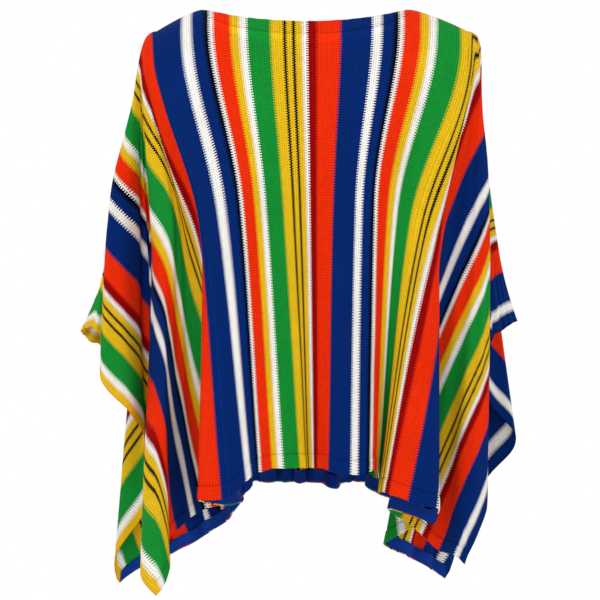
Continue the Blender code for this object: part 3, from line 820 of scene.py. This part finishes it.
def knit_material(name, purl):
    """The striped knit. The face shows ribs of stitches; the reverse shows flatter, broader bumps."""
    material = bpy.data.materials.new(name)
    material.use_nodes = True
    nodes = Nodes(material)
    across, down = nodes.places("cut")
    above_hem, below_neck = nodes.places("edges")
    place = nodes.point(across, down)

    courses = nodes.math("DIVIDE", down, STITCH)
    tooth = nodes.between(nodes.math("PINGPONG", courses, 0.5), *TOOTH_RISE)
    wander = nodes.noise(place, WANDER_GRAIN)
    in_repeat = nodes.math("DIVIDE", nodes.math("SUBTRACT", across, FIRST_STRIPE), REPEAT)
    in_repeat = nodes.math("FRACT", in_repeat)
    on_lines = nodes.math("GREATER_THAN", in_repeat, LINES_FROM / REPEAT)
    before_end = nodes.math("LESS_THAN", in_repeat, LINES_TO / REPEAT)
    on_lines = nodes.math("MULTIPLY", on_lines, before_end)
    reach = nodes.between(on_lines, 0.0, 1.0, JAG, LINE_JAG)
    jagged = nodes.math("MULTIPLY_ADD", tooth, reach, across)
    jagged = nodes.math("MULTIPLY_ADD", wander, WANDER, jagged)
    jagged = nodes.math("SUBTRACT", jagged, FIRST_STRIPE + 0.5 * JAG + 0.5 * WANDER)
    ramp = nodes.tree.nodes.new("ShaderNodeValToRGB")
    ramp.color_ramp.interpolation = "CONSTANT"
    nodes.connect(nodes.math("FRACT", nodes.math("DIVIDE", jagged, REPEAT)), ramp.inputs[0])
    elements = ramp.color_ramp.elements
    elements.remove(elements[1])
    at = 0.0
    for k, stripe in enumerate(STRIPES):
        element = elements[0] if k == 0 else elements.new(at / REPEAT)
        element.color = (*COLOURS[stripe.colour], 1.0)
        at += stripe.width * MM

    relief = PURL_RELIEF if purl else FACE_RELIEF
    wales = nodes.math("DIVIDE", across, RIB)
    rib_side = nodes.math("PINGPONG", wales, 0.5)
    rib = nodes.math("POWER", nodes.math("MULTIPLY", rib_side, 2.0), RIB_POWER)
    slant = nodes.math("MULTIPLY_ADD", rib_side, relief.slant, courses)
    loop = nodes.math("SINE", nodes.math("MULTIPLY", slant, 2 * math.pi))
    fibre = nodes.noise(place, FIBRE_GRAIN, 3.0)
    cell = nodes.point(nodes.math("FLOOR", wales), nodes.math("FLOOR", courses))
    each_stitch = nodes.speckle(cell)
    mottle = nodes.noise(place, MOTTLE_GRAIN, 3.0)

    seam = stitch_line(nodes, above_hem, across, HEM_BAND)
    neck_seam = stitch_line(nodes, below_neck, across, NECK_BAND)
    seam = nodes.math("MAXIMUM", seam, neck_seam)

    # Painted shade: the ribs and the loops darken the colour in their grooves and gaps.
    shade = nodes.between(rib, 0.0, RIB_FULL, *RIB_PAINTED_SHADES)
    shade = nodes.math("MULTIPLY", shade, nodes.between(loop, -1.0, LOOP_FULL, *LOOP_PAINTED_SHADES))
    loose_from, loose_to = (NECK_BAND + reach for reach in LOOSE_REACH)
    loose = nodes.between(below_neck, loose_from, loose_to, LOOSE_SHADE, 1.0)
    below_seam = nodes.between(below_neck, NECK_BAND - BAND_FADE, NECK_BAND)
    band = nodes.between(below_seam, 0.0, 1.0, BAND_SHADE, loose)
    shade = nodes.math("MULTIPLY", shade, band)
    shade = nodes.math("MULTIPLY", shade, nodes.between(each_stitch, 0.0, 1.0, *STITCH_SHADES))
    shade = nodes.math("MULTIPLY", shade, nodes.between(mottle, *NOISE_RANGE, *MOTTLE_SHADES))
    shade = nodes.math("MULTIPLY", shade, nodes.between(seam, 0.0, 1.0, 1.0, SEAM_SHADE))
    if purl:
        shade = nodes.math("MULTIPLY", shade, PURL_SHADE)
    nodes.connect(nodes.scaled(ramp.outputs[0], shade), nodes.shader.inputs["Base Color"])

    height = nodes.math("MULTIPLY", rib, relief.rib)
    height = nodes.math("MULTIPLY_ADD", loop, 0.5 * relief.loop, height)
    height = nodes.math("MULTIPLY_ADD", fibre, FIBRE_RELIEF, height)
    height = nodes.math("MULTIPLY_ADD", seam, SEAM_RELIEF, height)
    nodes.connect(nodes.bump(height, *KNIT_BUMP), nodes.shader.inputs["Normal"])
    rough = nodes.between(fibre, *NOISE_RANGE, *KNIT_ROUGHNESS)
    nodes.connect(rough, nodes.shader.inputs["Roughness"])
    nodes.shader.inputs["Specular IOR Level"].default_value = KNIT_SPECULAR
    nodes.shader.inputs["Sheen Weight"].default_value = KNIT_SHEEN
    nodes.shader.inputs["Sheen Roughness"].default_value = KNIT_SHEEN_ROUGHNESS
    return material


def facing_material(name):
    """The plain blue facing: a fine tape with a stitched upper edge."""
    material = bpy.data.materials.new(name)
    material.use_nodes = True
    nodes = Nodes(material)
    across, down = nodes.places("cut")
    above_hem = nodes.places("edges")[0]
    place = nodes.point(across, down)
    ribs = nodes.math("PINGPONG", nodes.math("DIVIDE", across, TAPE_RIB), 0.5)
    rows = nodes.math("SINE", nodes.math("MULTIPLY", down, 2 * math.pi / TAPE_ROW))
    fibre = nodes.noise(place, TAPE_FIBRE_GRAIN, 3.0)
    mottle = nodes.noise(place, TAPE_MOTTLE_GRAIN, 3.0)
    seam = stitch_line(nodes, above_hem, across, TAPE_TOP_ROW)
    low_seam = stitch_line(nodes, above_hem, across, TAPE_LOW_ROW)
    seam = nodes.math("MAXIMUM", seam, low_seam)
    # Painted shade: darker in the grooves between the tape's ribs.
    shade = nodes.between(ribs, 0.0, 0.5, *TAPE_RIB_PAINTED_SHADES)
    shade = nodes.math("MULTIPLY", shade, nodes.between(mottle, *NOISE_RANGE, *TAPE_MOTTLE_SHADES))
    shade = nodes.math("MULTIPLY", shade, nodes.between(seam, 0.0, 1.0, 1.0, TAPE_SEAM_SHADE))
    base = nodes.tree.nodes.new("ShaderNodeRGB")
    base.outputs[0].default_value = (*FACING_COLOUR, 1.0)
    nodes.connect(nodes.scaled(base.outputs[0], shade), nodes.shader.inputs["Base Color"])
    height = nodes.math("MULTIPLY_ADD", rows, TAPE_ROW_RELIEF, ribs)
    height = nodes.math("MULTIPLY_ADD", fibre, TAPE_FIBRE_RELIEF, height)
    height = nodes.math("MULTIPLY_ADD", seam, TAPE_SEAM_RELIEF, height)
    nodes.connect(nodes.bump(height, *TAPE_BUMP), nodes.shader.inputs["Normal"])
    rough = nodes.between(fibre, *NOISE_RANGE, *TAPE_ROUGHNESS)
    nodes.connect(rough, nodes.shader.inputs["Roughness"])
    nodes.shader.inputs["Specular IOR Level"].default_value = TAPE_SPECULAR
    nodes.shader.inputs["Sheen Weight"].default_value = TAPE_SHEEN
    return material


def edge_places(lines, down, length):
    """Each point's distance above the hem and below the neck edge, or far off where there is none."""
    corner = math.atan2(length, SIDE_REACH)
    at_hem = (lines[:, 1] > corner - SAME_PLACE)[:, None]
    in_neck = (np.abs(lines[:, 0]) < NECK_HALF_WIDTH)[:, None]
    above_hem = np.where(at_hem, down[:, -1:] - down, NO_EDGE)
    below_neck = np.where(in_neck, down - down[:, :1], NO_EDGE)
    return np.stack([above_hem, below_neck], axis=-1)


def seam_shape(edges, places):
    """The stitched bands stand a little proud, with a groove along each row of stitches."""
    above_hem, below_neck = edges[..., 0], edges[..., 1]
    lift = HEM_LIFT * (above_hem < HEM_BAND) + NECK_LIFT * (below_neck < NECK_BAND)
    groove = np.exp(-(((above_hem - HEM_BAND) / GROOVE_WIDTH) ** 2))
    groove += np.exp(-(((below_neck - NECK_BAND) / GROOVE_WIDTH) ** 2))
    ripple = sum(np.sin(places[..., 0] * 2 * math.pi / spacing) for spacing in RIPPLE_SPACINGS)
    near_edge = np.exp(-((np.minimum(above_hem, below_neck) / RIPPLE_REACH) ** 2))
    return lift - GROOVE_DEPTH * groove + RIPPLE_HEIGHT * ripple * near_edge


def knit_pieces():
    """Both panels with their facings."""
    tables = {
        "front": (FRONT_FOLDS, FRONT_LENGTH, FRONT_CREASES),
        "back": (BACK_FOLDS, BACK_LENGTH, BACK_CREASES),
    }
    lines, rows, points, places, edges = {}, {}, {}, {}, {}
    for side, (folds, length, creases) in tables.items():
        lines[side] = lines_of(folds, length)
        rows[side] = panel_rows(lines[side], length)
        points[side] = hang(lines[side], rows[side], side)
        places[side] = cut_places(lines[side], rows[side])
        edges[side] = edge_places(lines[side], rows[side], length)
    normals = shared_normals(points, lines)
    for side, (folds, length, creases) in tables.items():
        lift = crease_height(places[side], creases) + seam_shape(edges[side], places[side])
        lift += flute_height(points[side], places[side], lines[side], rows[side], side)
        column = np.arange(len(lift))
        from_ridge = np.minimum(column, column[::-1]) / RIDGE_COLUMNS
        lift *= np.clip(from_ridge, 0, 1)[:, None]
        lift *= np.clip(rows[side] / SHOULDER_CALM, 0, 1)
        points[side] = points[side] + normals[side] * lift[..., None]
        places[side][..., 0] -= crept(lines[side], rows[side])
    normals = shared_normals(points, lines)

    face = knit_material("striped_knit_face", purl=False)
    reverse = knit_material("striped_knit_reverse", purl=True)
    tape = facing_material("blue_facing")
    made = {}
    for side, (folds, length, creases) in tables.items():
        grid, normal = points[side], normals[side]
        in_neck = np.abs(lines[side][:, 0]) < NECK_HALF_WIDTH - NECK_CORNER_ROOM
        open_edge = np.zeros(grid.shape[:2])
        open_edge[in_neck, 0] = 1
        open_edge[:, -1] = 1
        inner = grid - normal * KNIT_WALL
        made[f"{side}_panel"] = shell(
            f"{side}_knit", grid, inner, places[side], edges[side], open_edge, side, [face, reverse]
        )

        corner = math.atan2(length, SIDE_REACH)
        at_hem = np.flatnonzero(lines[side][:, 1] > corner - SAME_PLACE)
        above_hem = edges[side][at_hem[0], :, 0]
        band = (above_hem < HEM_BAND + SAME_PLACE) & (above_hem > FACING_LIFT - FACING_ROOM)
        band = np.flatnonzero(band)
        made[f"{side}_hem_facing"] = facing(
            f"{side}_hem_tape", grid, normal, places[side], edges[side], at_hem, band, side, [tape]
        )
        in_neck = np.abs(lines[side][:, 0]) < NECK_HALF_WIDTH - NECK_FACING_INSET
        in_neck = np.flatnonzero(in_neck)
        band = np.arange(len(EDGE_ROWS) + GROOVE_ROWS.index(0.0) + 1)
        made[f"{side}_neck_facing"] = facing(
            f"{side}_neck_turning", grid, normal, places[side], edges[side], in_neck, band, side,
            [reverse, face],
        )
    return made


def facing(name, grid, normal, places, edges, columns, rows, side, materials):
    """A band on the inside of a panel, made from the panel's points, moved in."""
    pick = np.ix_(columns, rows)
    near = grid[pick] - normal[pick] * (KNIT_WALL + SEAM_GAP)
    far = near - normal[pick] * FACING_WALL
    open_edge = np.ones(near.shape[:2])
    return shell(name, near, far, places[pick], edges[pick], open_edge, side, materials)


def add_floor():
    """A plain pale floor well below the hanging cloth."""
    data = bpy.data.meshes.new("floor")
    half, level = FLOOR_HALF, FLOOR_LEVEL
    corners = [(-half, -half, level), (half, -half, level), (half, half, level), (-half, half, level)]
    data.from_pydata(corners, [], [(0, 1, 2, 3)])
    material = bpy.data.materials.new("pale_floor")
    material.use_nodes = True
    nodes = Nodes(material)
    nodes.shader.inputs["Base Color"].default_value = (*FLOOR_COLOUR, 1.0)
    nodes.shader.inputs["Roughness"].default_value = FLOOR_ROUGHNESS
    data.materials.append(material)
    floor = bpy.data.objects.new("floor", data)
    bpy.context.scene.collection.objects.link(floor)


def add_light(light):
    """A large soft light in its place, turned to what the lights face."""
    data = bpy.data.lights.new(light.name, "AREA")
    data.shape = "DISK"
    data.size = light.size
    data.energy = light.power
    lamp = bpy.data.objects.new(light.name, data)
    lamp.location = light.place
    direction = np.array(LIGHTS_FACE) - np.array(light.place)
    turn = math.atan2(direction[0], -direction[1])
    tilt = math.atan2(math.hypot(direction[0], direction[1]), -direction[2])
    lamp.rotation_euler = (tilt, 0.0, turn + math.pi)
    bpy.context.scene.collection.objects.link(lamp)


def add_studio():
    """White surroundings, soft lights and the camera of the photograph."""
    world = bpy.data.worlds.new("white_studio")
    world.use_nodes = True
    background = world.node_tree.nodes["Background"]
    background.inputs[0].default_value = (1.0, 1.0, 1.0, 1.0)
    background.inputs[1].default_value = 1.0
    bpy.context.scene.world = world
    for light in LIGHTS:
        add_light(light)
    data = bpy.data.cameras.new("camera")
    data.lens = CAMERA_LENS
    data.sensor_width = CAMERA_SENSOR
    data.clip_start = CAMERA_NEAREST
    camera = bpy.data.objects.new("camera", data)
    camera.location = CAMERA_PLACE
    camera.rotation_euler = (math.pi / 2, 0.0, 0.0)
    bpy.context.scene.collection.objects.link(camera)
    bpy.context.scene.camera = camera
    bpy.context.scene.view_settings.view_transform = "Standard"


def declare(made):
    """Ties each piece to the CAD and hides the CAD's own part for it."""
    for node, piece in made.items():
        side, kind = node.split("_", 1)
        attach(piece, "root")
        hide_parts(node)
        if kind == "panel":
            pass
        elif kind == "hem_facing":
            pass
        else:
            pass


add_studio()
add_floor()
declare(knit_pieces())
